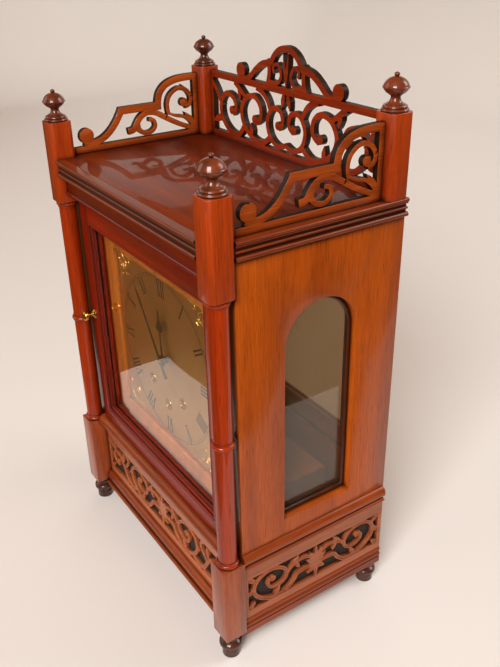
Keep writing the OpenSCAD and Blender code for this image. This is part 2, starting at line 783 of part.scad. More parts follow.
module letter(c) {
    h = numeral_h / 2;
    if (c == "I") square([2.2, 2 * h], center = true);
    if (c == "V") {
        polygon([[-4.4, h], [-0.9, -h], [0.9, -h], [-1.9, h]]);
        polygon([[4.2, h], [3.3, h], [0, -h + 1], [0.9, -h]]);
    }
    if (c == "X") {
        polygon([[-4.4, h], [1.9, -h], [4.4, -h], [-1.9, h]]);
        polygon([[4.2, h], [3.3, h], [-4.2, -h], [-3.3, -h]]);
    }
    for (s = [-1, 1]) translate([0, s * (h - 0.35)]) square([letter_w(c) - 0.6, 0.7], center = true);
}

module dial_engraving() color("#1c1a18") upright(dial_y - 0.15, 0.15) translate(centre) {
    for (k = [0:11]) let(word = NUMERALS[k], n = len(word)) rotate(-30 * k)
        translate([-word_w(word, n) / 2, numeral_r]) for (i = [0:n - 1])
            translate([word_w(word, i) + letter_w(word[i]) / 2, 0]) letter(word[i]);
    for (r = [track_r, track_r - 3]) difference() {
        circle(r = r, $fn = 96);
        circle(r = r - 0.4, $fn = 96);
    }
    for (k = [0:59]) rotate(6 * k) translate([0, track_r - 1.7])
        square([k % 5 == 0 ? 1.2 : 0.4, 3], center = true);
}

// A toothed wheel of n teeth and module m, with a tooth at the bearing a
module teeth(n, m, a) {
    r = n * m / 2;
    step = 360 / n;
    polygon([for (i = [0:n - 1]) for (q = [[-1.1, -0.29], [0.75, -0.11], [0.75, 0.11], [-1.1, 0.29]])
        polar(r + q[0] * m, a + (i + q[1]) * step)]);
}

// The same wheel crossed out to four arms, for wheels
module crossed(n, m, a, hub) {
    rim = n * m / 2 - 1.1 * m - 2.2;
    difference() {
        teeth(n, m, a);
        difference() {
            circle(r = rim, $fn = 64);
            circle(r = hub, $fn = 48);
            for (k = [0, 90]) rotate(k + 20) square([2 * rim + 2, 3], center = true);
        }
    }
}

module wheel(p, n, m, to, y, t = wheel_t, hub = 5) upright(in_y + y, t) translate(p)
    crossed(n, m, bearing(p, to), hub);

// A pinion of n leaves for the wheel at the place from, whose plane starts at y
module pinion(p, n, m, from, y, t = wheel_t) upright(in_y + y - leaf_over, t + 2 * leaf_over)
    translate(p) teeth(n, m, bearing(p, from) + 180 / n);

// An arbor between the plates with a pivot at each end
module arbor(p, r = arbor_r) {
    rod(p, r, in_y + shake, plate_gap - 2 * shake);
    rod(p, r * pivot_share, plate_y + 0.5, plate_gap + 2 * plate_t - 1);
}

module barrel(p, n, wheel_y, to) {
    r = 18;
    y = in_y + 30;
    l = 50;
    rim = 1.5;
    square_s = 4.6;
    from = dial_y + dial_t + 1;
    rod(p, r, y, l);
    for (at = [y - rim, y + l]) rod(p, r + 0.6, at, rim);
    wheel(p, n, great_m, to, wheel_y, great_t, 8);
    rod(p, winder_r, from, out_y - shake - from);
    rod(p, barrel_pivot_r, out_y - 1, plate_t + 0.5);
    translate([p[0] - square_s / 2, dial_y - 1, p[1] - square_s / 2])
        cube([square_s, dial_t + 3, square_s]);
}

module going_barrel() color("#b5903c") barrel(going, great_n, going_y, second);
module strike_barrel() color("#b5903c") barrel(strike, side_n, side_y, pins);
module music_barrel() color("#b5903c") barrel(music, side_n, side_y, tune);

module second_wheel() color("#b5903c") {
    arbor(second);
    pinion(second, leaf_n, great_m, going, going_y, great_t);
    wheel(second, second_n, fine_m, centre, second_y);
}

module centre_wheel() color("#b5903c") {
    rod(centre, arbor_r, in_y + shake, plate_gap - 2 * shake);
    rod(centre, pivot_r, out_y - 1, plate_t + 0.5);
    rod(centre, centre_r, dial_y - minute_hand_y - hand_t, in_y + shake - dial_y + minute_hand_y + hand_t);
    pinion(centre, centre_leaf_n, fine_m, second, second_y);
    wheel(centre, centre_n, going_m, third, centre_y);
}

module third_wheel() color("#b5903c") {
    arbor(third, fine_arbor_r);
    pinion(third, going_leaf_n, going_m, centre, centre_y);
    wheel(third, third_n, going_m, escape, third_y, wheel_t, 4);
}

module escape_wheel() color("#b5903c") {
    arbor(escape, fine_arbor_r);
    pinion(escape, going_leaf_n, going_m, third, third_y);
    upright(in_y + escape_y, wheel_t) translate(escape) difference() {
        polygon([for (i = [0:escape_n - 1])
            for (q = [[escape_r - 2.2, -0.2], [escape_r, 0], [escape_r - 2.2, 0.15]])
                polar(q[0], (i + q[1]) * 360 / escape_n)]);
        difference() {
            circle(r = escape_r - 3.8, $fn = 48);
            circle(r = 3.5, $fn = 32);
            for (k = [0, 90]) rotate(k) square([2 * escape_r, 2], center = true);
        }
    }
}

module anchor() color("#7d8288") {
    swing_gap = 0.8;
    tip = [escape_r + swing_gap + 0.7, 40];
    rod(hang, arbor_r, in_y + shake, plate_gap - 2 * shake);
    rod(hang, pivot_r, plate_y + 0.5, back_y + 9.2 - plate_y);
    upright(in_y + escape_y - 0.5, wheel_t + 1) translate(hang) {
        circle(r = 4, $fn = 32);
        for (s = [-1, 1]) strap([[0, 0], [s * 7, -0.5], [s * 11.5, -4],
            [s * tip[0] * cos(tip[1]), tip[0] * sin(tip[1]) - anchor_rise]], 3.6, 1.4);
    }
    rod(hang, arbor_r, out_y + shake - 1, plate_t + 3);
    upright(back_y + 2, 1.6) translate(hang) {
        circle(r = 4, $fn = 32);
        translate([-1.5, -52]) square([3, 52]);
        translate([-4, -56]) square([8, 5]);
    }
    for (s = [-1, 1]) rod(hang + [s * 2.7, -53.5], 0.8, back_y + 3, 16);
}

module suspension() color("#b5903c") {
    foot_x = 20;
    difference() {
        union() {
            upright(back_y + 8, 3) translate(hang + [0, 4]) square([2 * foot_x + 10, 14], center = true);
            for (s = [-1, 1]) translate([s * foot_x - 5, back_y, hang[1] - 3]) cube([10, 8, 14]);
        }
        rod(hang, pivot_r + run, back_y + 7, 3);
    }
    rod(hang, hang_r, back_y + 10.8, 12);
    rod(hang, 3.2, back_y + 20.8, 2);
}

module pendulum() color("#b08a3a") {
    y = back_y + 14.5;
    boss = 5;
    mid = y + boss / 2;
    r = bob_d / 2;
    t = bob_t / 2;
    bob_z = hang[1] - pendulum_len;
    tube(hang, 4, hang_r + run, y, boss);
    translate([0, mid, bob_z + r - 2]) cylinder(r = 1.5, h = pendulum_len - r + 2 - 3, $fn = 32);
    translate([0, mid, bob_z]) rotate([90, 0, 0]) rotate_extrude($fn = 96)
        polygon([[0, -t], [r * 0.34, -t], [r * 0.8, -t * 0.6], [r, -1.6], [r, 1.6], [r * 0.8, t * 0.6],
            [r * 0.34, t], [0, t]]);
    translate([0, mid, bob_z - r - 10]) cylinder(r = 1.5, h = 12, $fn = 32);
    translate([0, mid, bob_z - r - 6]) cylinder(r = 4, h = 4, $fn = 48);
}

module minute_wheel() color("#b5903c") {
    bore = minute_post_r + run;
    toward = bearing(minute_side, centre);
    upright(plate_y - motion_y, motion_t) translate(minute_side) difference() {
        teeth(minute_n, cannon_m, toward + 180 / minute_n);
        circle(r = bore, $fn = 48);
    }
    upright(plate_y - motion_y - leaves_t + 0.2, leaves_t) translate(minute_side) difference() {
        teeth(minute_leaf_n, hour_m, toward + 180 / minute_leaf_n);
        circle(r = bore, $fn = 48);
    }
}

module hour_hand() color("#23272f") {
    y = dial_y - hour_hand_y;
    bore = cannon_r + run;
    upright(plate_y - hour_y, motion_t) translate(centre) difference() {
        teeth(hour_n, hour_m, 0);
        circle(r = bore, $fn = 48);
    }
    tube(centre, 4, bore, y, plate_y - hour_y + 1.6 - y);
    upright(y, hand_t) translate(centre) difference() {
        rotate(-(330 + shown_minute / 2)) {
            circle(r = 7, $fn = 48);
            strap([[0, 4], [0, 20], [0, hour_len * 0.56]], 3.2, 1.6);
            leaf([0, hour_len * 0.54], [0, hour_len], 3);
            for (s = [-1, 1]) disc([s * 3, hour_len * 0.62], 4.4);
            polygon([[-7.2, hour_len * 0.64], [7.2, hour_len * 0.64], [0, hour_len * 0.82]]);
        }
        circle(r = bore, $fn = 48);
    }
}

module minute_hand() color("#23272f") {
    y = dial_y - minute_hand_y;
    bore = centre_r + run;
    upright(plate_y - cannon_y, cannon_t) translate(centre) difference() {
        teeth(cannon_n, cannon_m, 0);
        circle(r = bore, $fn = 48);
    }
    tube(centre, cannon_r, bore, y, plate_y - 1 - y);
    upright(y, hand_t) translate(centre) difference() {
        rotate(-6 * shown_minute) {
            circle(r = 5.4, $fn = 48);
            polygon([[-2.6, 3], [2.6, 3], [0.7, minute_len - 12], [0, minute_len], [-0.7, minute_len - 12]]);
            leaf([0, minute_len * 0.62], [0, minute_len - 6], 5.4);
            strap([[0, 0], [0, -22]], 4.4, 7);
        }
        circle(r = bore, $fn = 48);
    }
}

module pin_wheel() color("#b5903c") {
    arbor(pins);
    pinion(pins, leaf_n, great_m, strike, side_y, great_t);
    wheel(pins, pin_n, fine_m, flier, pins_y);
    for (k = [0:7]) rod(pins + polar(pin_circle, 45 * k + 8), pin_r, in_y + pins_y + 1, 6);
}

// A fan of two vanes on its arbor
module fan(p, from, y, vane_y, vane_l, vane_r) {
    arbor(p);
    pinion(p, fly_leaf_n, fine_m, from, y);
    upright(in_y + vane_y, vane_l) translate(p) square([2 * vane_r, 1], center = true);
    rod(p, 2.6, in_y + vane_y, vane_l);
}

module strike_fly() color("#b5903c") fan(flier, pins, pins_y, 36, 28, 14);
module music_fly() color("#b5903c") fan(governor, drum, tune_y, 3, 13, 10);

module music_wheel() color("#b5903c") {
    arbor(tune);
    pinion(tune, leaf_n, great_m, music, side_y, great_t);
    wheel(tune, tune_n, fine_m, drum, tune_y);
}

hammer_y = [for (k = [0:hammer_count - 1]) hammer_first + hammer_pitch * k];

module music_cylinder() color("#b5903c") {
    arbor(drum);
    upright(in_y + tune_y, wheel_t) translate(drum)
        teeth(cylinder_n, fine_m, bearing(drum, tune) + 180 / cylinder_n);
    rod(drum, drum_r, in_y + drum_y, drum_l);
    for (k = [0:hammer_count - 1]) for (i = [0:9])
        rod_out(drum, 36 * i + 83 * k + 20, drum_r - 0.5, drum_pin + 0.5, in_y + hammer_y[k] + 1.5);
}

// A pin that stands out of the drum at the bearing a
module rod_out(p, a, r, l, y) translate([p[0], y, p[1]]) rotate([0, 90 - a, 0])
    translate([0, 0, r]) cylinder(r = 0.7, h = l, $fn = 16);

module music_hammer(k) color("#7d8288") {
    head = bell_c + [bell_r[k] + hammer_lift + head_r, 0];
    tail = drum + polar(drum_r + drum_pin + shake + head_gap, 98);
    upright(in_y + hammer_y[k], hammer_t) difference() {
        union() {
            disc(hammer_pivot, 4);
            strap([hammer_pivot, lerp(hammer_pivot, head, 0.5) + [1, 0], head], 4, 2.4);
            strap([hammer_pivot, tail], 4, 2.4, 1);
            disc(head, head_r);
        }
        disc(hammer_pivot, hammer_rod_r + run);
    }
}

module hammer_1() music_hammer(0);
module hammer_2() music_hammer(1);
module hammer_3() music_hammer(2);
module hammer_4() music_hammer(3);

module strike_hammer() color("#7d8288") {
    head = hour_bell + polar(hour_bell_r + hammer_lift + head_r + 1, -10);
    tail = pins + polar(pin_circle + pin_r + shake + head_gap, 125);
    arbor(strike_pivot);
    upright(in_y + strike_y, hammer_t + 1) {
        disc(strike_pivot, 4);
        strap([strike_pivot, head], 4.4, 3, 1);
        strap([strike_pivot, tail], 4, 2.4, 1);
        disc(head, head_r + 1);
    }
}

// A bell with its mouth to the front, r at the mouth and h deep, bored for its stud
module bell(p, r, y, h, bore) translate([p[0], y, p[1]]) rotate([-90, 0, 0]) rotate_extrude($fn = 96)
    polygon(concat(
        smooth([[r, 0], [r * 0.96, h * 0.25], [r * 0.84, h * 0.6], [r * 0.55, h * 0.9], [bore, h]], 5),
        smooth([[bore, h - 1.6], [r * 0.52, h * 0.9 - 1.8], [r * 0.79, h * 0.6 - 1.2],
        [r * 0.92, h * 0.25], [r - 1.8, 0]], 5)));

module bells() color("#c9b27a") {
    for (k = [0:hammer_count - 1]) bell(bell_c, bell_r[k], in_y + hammer_y[k] + 0.5, bell_h, bell_rod_r);
    bell(hour_bell, hour_bell_r, in_y + hour_bell_y, hour_bell_h, hour_stud_r);
}

module bell_brackets() color("#b5903c") {
    for (y = [plate_y, out_y]) upright(y, plate_t) {
        translate([-bracket_foot / 2, plate_top]) square([bracket_foot, bracket_h]);
        translate([-bracket_w / 2, plate_top]) square([bracket_w, bell_c[1] - plate_top]);
        disc(bell_c, bracket_w * 0.75);
    }
    rod(bell_c, bell_rod_r, plate_y + 1, back_y - plate_y - 2);
    for (k = [0:hammer_count - 1]) rod(bell_c, collar_r, in_y + hammer_y[k] + 0.5 + bell_h, collar_t);
    rod(hammer_pivot, hammer_rod_r, plate_y, back_y - plate_y);
    upright(back_y, plate_t) translate(hour_bell - [arm_w, arm_w] / 2)
        square([arm_w / 2 - hour_bell[0] - plate_x + arm_lap, arm_w]);
    rod(hour_bell, hour_stud_r, hour_top - 1.6, back_y - hour_top + 1.6);
    rod(hour_bell, hour_collar_r, hour_top, hour_collar_t);
    rod(hour_bell, hour_collar_r, hour_top - hour_collar_t - 2.2, hour_collar_t);
}

pivots = [second, pins, flier, tune, drum, governor, strike_pivot];
pillar_x = plate_x - 7;

module plate_holes(y) {
    for (p = pivots) rod(p, pivot_r + run, y - 1, plate_t + 2);
    for (p = [third, escape]) rod(p, fine_pivot_r + run, y - 1, plate_t + 2);
    rod(hammer_pivot, hammer_rod_r, y - 1, plate_t + 2);
}

module front_plate() color("#c7a24a") {
    difference() {
        translate([-plate_x, plate_y, plate_z]) cube([2 * plate_x, plate_t, plate_h]);
        plate_holes(plate_y);
        for (p = winders) rod(p, winder_r + run, plate_y - 1, plate_t + 2);
        rod(centre, centre_r + run, plate_y - 1, plate_t + 2);
        rod(hang, pivot_r + run, plate_y - 1, plate_t + 2);
    }
    rod(minute_side, minute_post_r, plate_y - post_end, post_end);
}

module back_plate() color("#c7a24a") {
    difference() {
        translate([-plate_x, out_y, plate_z]) cube([2 * plate_x, plate_t, plate_h]);
        plate_holes(out_y);
        for (p = winders) rod(p, barrel_pivot_r + run, out_y - 1, plate_t + 2);
        rod(centre, pivot_r + run, out_y - 1, plate_t + 2);
        rod(hang, 4, out_y - 1, plate_t + 2);
    }
    for (x = [-pillar_x, pillar_x]) for (z = [plate_z + 9, plate_z + plate_h - 8])
        rod([x, z], 4, in_y, plate_gap);
}

module seatboard() color("#6b3a1c") {
    seat_y = plate_y - 4;
    seat_d = back_y + 1 - seat_y;
    translate([-panel_in, seat_y, plate_z - seat_t]) cube([2 * panel_in, seat_d, seat_t]);
    both() translate([panel_in - 16, seat_y, plate_z - 2 * seat_t]) cube([16, seat_d, seat_t]);
}

// The moulding that slopes from the flat of the front door down to its sight, beaded on both edges
module sight_moulding() {
    bead = 1.3;
    x = sight_w / 2;
    top = sight_z + sight_h;
    back = door_y + slope_t;
    sunk = door_y + bead + 0.2;
    both() translate([0, 0, sight_z - slope_w - 1]) linear_extrude(sight_h + 2 * slope_w + 2) {
        polygon([[x + slope_w + 1, door_y + 1], [x + slope_w + 1, back], [x, back], [x + slope_w, door_y + 1]]);
        for (q = [[x + slope_w - bead, sunk], [x + bead, back - bead]]) translate(q) circle(r = bead, $fn = 32);
    }
    sideways(-x - slope_w - 1, sight_w + 2 * slope_w + 2) {
        polygon([[door_y + 1, sight_z - slope_w - 1], [back, sight_z - slope_w - 1], [back, sight_z],
            [door_y + 1, sight_z - slope_w]]);
        polygon([[door_y + 1, top + slope_w], [back, top], [back, top + slope_w + 1],
            [door_y + 1, top + slope_w + 1]]);
        for (q = [[sunk, sight_z - slope_w + bead], [back - bead, sight_z - bead], [back - bead, top + bead],
            [sunk, top + slope_w - bead]]) translate(q) circle(r = bead, $fn = 32);
    }
}

module door_frame() color("#7a2410") {
    difference() {
        translate([-door_w / 2, door_y, door_z]) cube([door_w, door_t, door_h]);
        translate([-sight_w / 2, door_y - 1, sight_z]) cube([sight_w, door_t + 2, sight_h]);
        translate([-sight_w / 2 - slope_w, door_y - 1, sight_z - slope_w])
            cube([sight_w + 2 * slope_w, slope_t + 1, sight_h + 2 * slope_w]);
        translate([-sight_w / 2 - rebate, door_y + glass_set, sight_z - rebate])
            cube([sight_w + 2 * rebate, glass_t, sight_h + 2 * rebate]);
        for (z = [door_z - 1, door_z + door_h - pivot_deep]) translate([pivot_x, pivot_y, z])
            cylinder(r = pivot_d / 2 + run, h = pivot_deep + 1, $fn = 48);
    }
    sight_moulding();
}

module door_glass() color("#8f8577") translate([-sight_w / 2 - rebate, door_y + glass_set, sight_z - rebate])
    cube([sight_w + 2 * rebate, glass_t, sight_h + 2 * rebate]);

module door_knob() color("#c79a3e")
    translate([(stile_w - slope_w - door_w) / 2, door_y, z0 + knob_z]) rotate([90, 0, 0])
        rotate_extrude($fn = 64) polygon(concat([[0, 0], [6.5, 0]],
            smooth([[6.5, 0.8], [5, 1.8], [3, 3.4], [2.6, 6], [3.2, 8], [5.6, 9.6], [6.8, 12.4],
                [5.6, 15.4], [2.4, 17], [0, 17.4]], 4)));

module pivot_pin(p, z) translate([p[0], p[1], z + 1 - pivot_deep])
    cylinder(d = pivot_d, h = 2 * pivot_deep - 2, $fn = 48);

module door_pivots() color("#c79a3e") {
    for (z = [nosing_top + door_gap / 2, frieze_z - door_gap / 2]) pivot_pin([pivot_x, pivot_y], z);
    for (z = [back_open_z + back_gap / 2, back_open_z + back_open_h - back_gap / 2]) pivot_pin(back_pivot, z);
}

module back_door() color("#6e3418") difference() {
    in_w = back_door_w - 2 * back_rail;
    in_h = back_door_h - 2 * back_rail;
    union() {
        translate([-back_door_w / 2 + pivot_in, back_door_y, back_door_z])
            cube([back_door_w - pivot_in, back_door_t, back_door_h]);
        translate([-back_door_w / 2, back_door_y, back_door_z])
            cube([pivot_in, back_door_t - pivot_in, back_door_h]);
        translate([back_pivot[0], back_pivot[1], back_door_z])
            cylinder(r = pivot_in, h = back_door_h, $fn = 48);
    }
    translate([-in_w / 2, back_door_y - 1, back_door_z + back_rail]) cube([in_w, back_door_t + 2, in_h]);
    back_pane();
    for (z = [back_door_z - 1, back_door_z + back_door_h - pivot_deep])
        translate([back_pivot[0], back_pivot[1], z])
            cylinder(r = pivot_d / 2 + run, h = pivot_deep + 1, $fn = 48);
}

module back_pane() {
    edge = back_rail - rebate;
    translate([edge - back_door_w / 2, back_door_y + 5, back_door_z + edge])
        cube([back_door_w - 2 * edge, glass_t, back_door_h - 2 * edge]);
}

module back_door_glass() color("#8f8577") back_pane();

bottom_board();
plinth_frame();
plinth_mouldings();
fret_front();
fret_left();
fret_right();
fret_backing();
pedestals();
feet();
columns();
corner_posts();
finials();
side_panel_left();
side_panel_right();
side_glass();
window_beads();
front_frame();
back_frame();
top_board();
cornice();
gallery_left();
gallery_right();
gallery_back();
dial_mask();
dial_plate();
dial_engraving();
hour_hand();
minute_hand();
door_frame();
door_glass();
door_knob();
door_pivots();
back_door();
back_door_glass();
seatboard();
front_plate();
back_plate();
suspension();
going_barrel();
second_wheel();
centre_wheel();
third_wheel();
escape_wheel();
anchor();
pendulum();
minute_wheel();
strike_barrel();
pin_wheel();
strike_fly();
strike_hammer();
music_barrel();
music_wheel();
music_cylinder();
music_fly();
bells();
bell_brackets();
hammer_1();
hammer_2();
hammer_3();
hammer_4();
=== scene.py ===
"""A musical bracket clock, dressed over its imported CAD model. Metres, +Z up, the dial faces -Y."""
import math
import bpy
from mathutils import Matrix, Vector
from mathutils.kdtree import KDTree


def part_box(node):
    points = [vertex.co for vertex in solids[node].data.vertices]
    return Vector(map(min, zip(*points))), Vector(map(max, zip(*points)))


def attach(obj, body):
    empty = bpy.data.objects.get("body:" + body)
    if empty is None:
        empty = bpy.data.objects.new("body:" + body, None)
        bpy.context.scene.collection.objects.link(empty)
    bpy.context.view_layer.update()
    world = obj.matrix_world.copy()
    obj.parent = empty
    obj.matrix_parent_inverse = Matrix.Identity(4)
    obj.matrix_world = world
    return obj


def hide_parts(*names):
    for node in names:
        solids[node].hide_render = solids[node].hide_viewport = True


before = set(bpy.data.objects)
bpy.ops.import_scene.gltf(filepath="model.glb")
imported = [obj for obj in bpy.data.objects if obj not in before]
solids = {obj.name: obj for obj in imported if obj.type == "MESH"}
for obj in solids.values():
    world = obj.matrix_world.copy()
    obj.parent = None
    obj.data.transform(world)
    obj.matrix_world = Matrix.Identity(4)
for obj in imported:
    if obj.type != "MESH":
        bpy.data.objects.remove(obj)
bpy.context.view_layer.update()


# The picture: a camera a little above the clock and well round to its right, as in the photograph.
lens = bpy.data.cameras.new("camera")
lens.sensor_fit = "VERTICAL"
lens.sensor_height = 36
lens.lens = 41.75
camera = bpy.data.objects.new("camera", lens)
camera.location = (0.720, -0.4288, 0.7618)
camera.rotation_euler = [math.radians(turn) for turn in (61.992, 0.985, 55.944)]
bpy.context.collection.objects.link(camera)
bpy.context.scene.camera = camera
bpy.context.scene.view_settings.view_transform = "Standard"


# The studio: a broad lamp beside the camera, a weak one to the left, one behind the clock, one on
# the backdrop, and a dim brown room that polish and glass mirror where they don't see the cloth.
def rgb(code):
    """A colour written as sRGB hex, turned to linear."""
    parts = [int(code[i:i + 2], 16) / 255 for i in (1, 3, 5)]
    return [*(p / 12.92 if p <= 0.04045 else ((p + 0.055) / 1.055) ** 2.4 for p in parts), 1]


for name, place, aim, size, power in (
    ("key_lamp", (1.5, -1.9, 2.1), (0, 0, 0.3), 1.3, 100),
    ("fill_lamp", (-1.7, -1.5, 1.5), (0, 0, 0.3), 1.6, 11),
    ("back_lamp", (0.9, 1.9, 2.0), (0, 0, 0.3), 1.2, 26),
    ("wall_lamp", (-1.5, 1.2, 2.5), (-3.0, 2.4, 0.6), 0.8, 18),
):
    lamp = bpy.data.lights.new(name, "AREA")
    lamp.size = size
    lamp.energy = power
    lamp.color = rgb("#fff8f4")[:3]
    stand = bpy.data.objects.new(name, lamp)
    stand.location = place
    stand.rotation_euler = (Vector(aim) - Vector(place)).to_track_quat("-Z", "Y").to_euler()
    bpy.context.collection.objects.link(stand)

room = bpy.data.worlds.new("room")
room.use_nodes = True
room.node_tree.nodes["Background"].inputs["Color"].default_value = rgb("#8c6238")
room.node_tree.nodes["Background"].inputs["Strength"].default_value = 0.75
bpy.context.scene.world = room


# The table: a pale smooth cloth that ends a hand's breadth in front of the clock and to its left,
# further off to its right, and runs up into a plain backdrop behind it.
def add(tree, kind, joined=None, **settings):
    """Adds a shader node with its settings. joined gives its inputs, as values or as other nodes'
    sockets, by number where names repeat: a Mix takes its factor at 0, vectors at 4 and 5 and
    colours at 6 and 7, and gives a vector at 1 and a colour at 2."""
    node = tree.nodes.new("ShaderNode" + kind)
    for name, value in settings.items():
        setattr(node, name, value)
    for name, value in (joined or {}).items():
        if isinstance(value, bpy.types.NodeSocket):
            tree.links.new(value, node.inputs[name])
        else:
            node.inputs[name].default_value = value
    return node


def blank(name):
    """An empty material and its tree."""
    material = bpy.data.materials.new(name)
    material.use_nodes = True
    material.node_tree.nodes.clear()
    return material, material.node_tree


def alone(piece=None):
    """Deselects everything, and then makes this piece the one worked on."""
    bpy.ops.object.select_all(action="DESELECT")
    if piece:
        bpy.context.view_layer.objects.active = piece
        piece.select_set(True)


# Bleached cotton cloth: matt, near white.
cotton, tree = blank("bleached_cotton_cloth")
shader = add(tree, "BsdfPrincipled", {"Base Color": rgb("#e9e9e7"), "Roughness": 0.85})
add(tree, "OutputMaterial", {"Surface": shader.outputs[0]})

front_edge, back_edge, left_edge, right_edge, rise = -0.349, 2.6, -3.4, 0.55, 2.6
corner_x, corner_y, far_y, curl_radius = -0.49, -0.18, 0.77, 0.4
halves = []
for outline in (
    {(-1, -1): (corner_x, front_edge), (1, -1): (right_edge, front_edge),
     (-1, 1): (corner_x, back_edge), (1, 1): (right_edge, back_edge)},
    {(-1, -1): (left_edge, far_y), (1, -1): (corner_x, corner_y),
     (-1, 1): (left_edge, back_edge), (1, 1): (corner_x, back_edge)},
):
    alone()
    bpy.ops.mesh.primitive_plane_add(size=2)
    halves.append(bpy.context.object)
    for corner in halves[-1].data.vertices:
        corner.co.xy = outline[round(corner.co.x), round(corner.co.y)]
alone(halves[0])
halves[1].select_set(True)
bpy.ops.object.join()
cloth = bpy.context.object
cloth.name = "cloth"
bpy.ops.object.mode_set(mode="EDIT")
bpy.ops.mesh.select_all(action="SELECT")
bpy.ops.mesh.remove_doubles(threshold=0.001)
bpy.ops.mesh.select_mode(type="EDGE")
bpy.ops.mesh.select_all(action="DESELECT")
bpy.ops.object.mode_set(mode="OBJECT")
for edge in cloth.data.edges:
    ends = [cloth.data.vertices[i].co for i in edge.vertices]
    edge.select = all(e.y > back_edge - 0.01 for e in ends) or all(e.x < left_edge + 0.01 for e in ends)
bpy.ops.object.mode_set(mode="EDIT")
bpy.ops.mesh.extrude_region_move(TRANSFORM_OT_translate={"value": (0, 0, rise)})
bpy.ops.object.mode_set(mode="OBJECT")
curl = cloth.modifiers.new("curl", "BEVEL")
curl.width, curl.segments, curl.limit_method = curl_radius, 12, "ANGLE"
bpy.ops.object.modifier_apply(modifier="curl")
bpy.ops.object.shade_smooth_by_angle(angle=math.radians(40))
cloth.data.materials.append(cotton)


# Every show member is mahogany, french polished: straight fine grain under a thin clear film of
# shellac, with darker wax and painted shade in its corners. Each member has its own colour and run of
# grain.
def polished_wood(name, pale, dark, run, beyond=None, film=0.6, gloss=0.12, figure=0.018, wax=0.92):
    """run is the axis the grain follows, and beyond = (axis, distance, run) changes it outside that
    distance from the middle. film and gloss are the weight and the roughness of the shellac,
    figure is the width of the ribbons of colour in metres, and wax is how dark the corners go:
    ambient occlusion darkens them, as dark wax and as painted shade together."""
    material, tree = blank(name)
    place = add(tree, "TexCoord").outputs["Object"]

    def grained(axis):
        stretch = 0.035
        scale = [stretch if axis == a else 1.0 for a in "XYZ"]
        return add(tree, "Mapping", {"Vector": place, "Scale": scale}).outputs[0]

    field = grained(run)
    if beyond:
        axis, distance, other = beyond
        parts = add(tree, "SeparateXYZ", {0: place})
        outer = add(tree, "Math", {0: parts.outputs[axis]}, operation="ABSOLUTE")
        outer = add(tree, "Math", {0: outer.outputs[0], 1: distance}, operation="GREATER_THAN")
        field = add(tree, "Mix", {0: outer.outputs[0], 4: field, 5: grained(other)},
                    data_type="VECTOR").outputs[1]
    # broad ribbons of colour, growth lines 1.5 mm apart and pores drawn 0.7 mm wide, coarser than
    # real ones so that they show
    growth_line, open_pore, wavy_film, wax_and_shade_reach = 0.0015, 0.0007, 0.03, 0.007
    ribbon = add(tree, "TexNoise", {"Vector": field, "Scale": 1 / figure, "Detail": 3.0})
    line = add(tree, "TexNoise", {"Vector": field, "Scale": 1 / growth_line, "Detail": 2.0})
    pore = add(tree, "TexNoise", {"Vector": field, "Scale": 1 / open_pore, "Detail": 1.0})
    spread = add(tree, "MapRange", {"Value": ribbon.outputs[0], "From Min": 0.34, "From Max": 0.66})
    base = add(tree, "Mix", {0: spread.outputs[0], 6: rgb(dark), 7: rgb(pale)}, data_type="RGBA")
    lines = add(tree, "MapRange", {"Value": line.outputs[0], "From Min": 0.3, "From Max": 0.7,
                                   "To Min": 0.78, "To Max": 1.1})
    pores = add(tree, "MapRange", {"Value": pore.outputs[0], "From Min": 0.30, "From Max": 0.42,
                                   "To Min": 0.6, "To Max": 1.0})
    shade = add(tree, "Math", {0: lines.outputs[0], 1: pores.outputs[0]}, operation="MULTIPLY")
    toned = add(tree, "Mix", {0: 1.0, 6: base.outputs[2], 7: shade.outputs[0]},
                data_type="RGBA", blend_type="MULTIPLY")
    # painted shade: ambient occlusion darkens corners and recesses toward near black, standing for dark wax
    # and for the shade that falls there
    corner = add(tree, "AmbientOcclusion", {"Distance": wax_and_shade_reach}, samples=8)
    wax_and_painted_shade = add(tree, "MapRange", {"Value": corner.outputs["AO"], "From Min": 0.35, "From Max": 0.9,
                                   "To Min": wax, "To Max": 0.0})
    colour = add(tree, "Mix", {0: wax_and_painted_shade.outputs[0], 6: toned.outputs[2], 7: rgb("#1c0904")},
                 data_type="RGBA").outputs[2]
    ripple = add(tree, "TexNoise", {"Vector": place, "Scale": 1 / wavy_film, "Detail": 1.0})
    grain = add(tree, "Bump", {"Height": pores.outputs[0], "Distance": 0.00003, "Strength": 0.4})
    skin = add(tree, "Bump", {"Height": ripple.outputs[0], "Distance": 0.0004, "Strength": 0.2})
    shader = add(tree, "BsdfPrincipled", {
        "Base Color": colour, "Roughness": 0.45, "IOR": 1.5, "Normal": grain.outputs[0],
        "Specular IOR Level": 0.2, "Coat Weight": film, "Coat Roughness": gloss, "Coat IOR": 1.5,
        "Coat Normal": skin.outputs[0]})
    add(tree, "OutputMaterial", {"Surface": shader.outputs[0]})
    return material


def finish_solid(node, material):
    """Gives a solid that stays as it is its real material."""
    piece = solids[node]
    for i in range(len(piece.data.materials)):
        piece.material_slots[i].material = material
    if not piece.data.materials:
        piece.data.materials.append(material)


def merged_copy(node, name, whole=True):
    """A copy of a solid with its loose triangles joined. whole makes each flat face one piece, which
    suits every piece but the galleries, whose faces are pierced many times."""
    piece = bpy.data.objects.new(name, solids[node].data.copy())
    piece.data.materials.clear()
    bpy.context.collection.objects.link(piece)
    alone(piece)
    bpy.ops.object.mode_set(mode="EDIT")
    bpy.ops.mesh.select_all(action="SELECT")
    bpy.ops.mesh.remove_doubles(threshold=1e-6)
    if whole:
        bpy.ops.mesh.dissolve_limited(angle_limit=math.radians(0.4))
    bpy.ops.object.mode_set(mode="OBJECT")
    return piece


